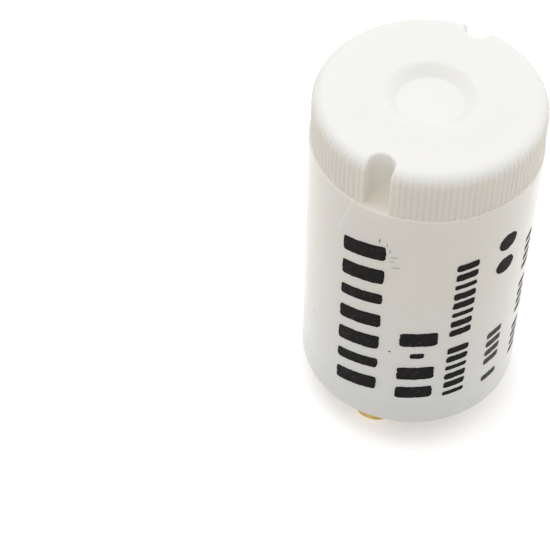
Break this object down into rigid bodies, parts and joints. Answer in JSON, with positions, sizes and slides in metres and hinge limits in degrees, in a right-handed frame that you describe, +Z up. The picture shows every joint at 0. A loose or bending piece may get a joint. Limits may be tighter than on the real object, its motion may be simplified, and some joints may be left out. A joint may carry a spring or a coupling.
{
  "type": "fluorescent lamp starter",
  "caption": "Two-pin glow starter for fluorescent lamps: round moulded canister with a ribbed grip band and notches, brown base disc, brass contact pins, glow lamp and capacitor inside.",
  "frame": {"origin": "on the barrel's axis, in the plane of the two contact pins' end faces, on which the starter stands", "axes": "+Z up along the barrel's axis to the closed top; Y through both pins and both grip notches; X across them"},
  "size_m": [0.021, 0.021, 0.0373],
  "materials": {
    "canister_plastic": "moulded off-white polycarbonate, glossy barrel, matt top",
    "phenolic_paper": "pressed brown phenolic paper, semi-gloss",
    "brass": "turned and polished",
    "solder": "soft solder, dull silver",
    "film_wrap": "wound film with a pale yellow tape wrap",
    "tinned_wire": "tinned, drawn",
    "electrode_metal": "nickel-plated strip",
    "lamp_glass": "clear blown glass"
  },
  "bodies": {
    "root": {"canister": "canister_plastic", "base_disc": "phenolic_paper", "contact_pin_a": "brass", "contact_pin_b": "brass", "solder_joint_a": "solder", "solder_joint_b": "solder", "capacitor_body": "film_wrap", "capacitor_lead_a": "tinned_wire", "capacitor_lead_b": "tinned_wire", "lamp_glass": "lamp_glass", "lamp_lead_a": "tinned_wire", "lamp_lead_b": "tinned_wire", "fixed_electrode": "electrode_metal", "bimetal_strip": "electrode_metal"}
  },
  "joints": []
}
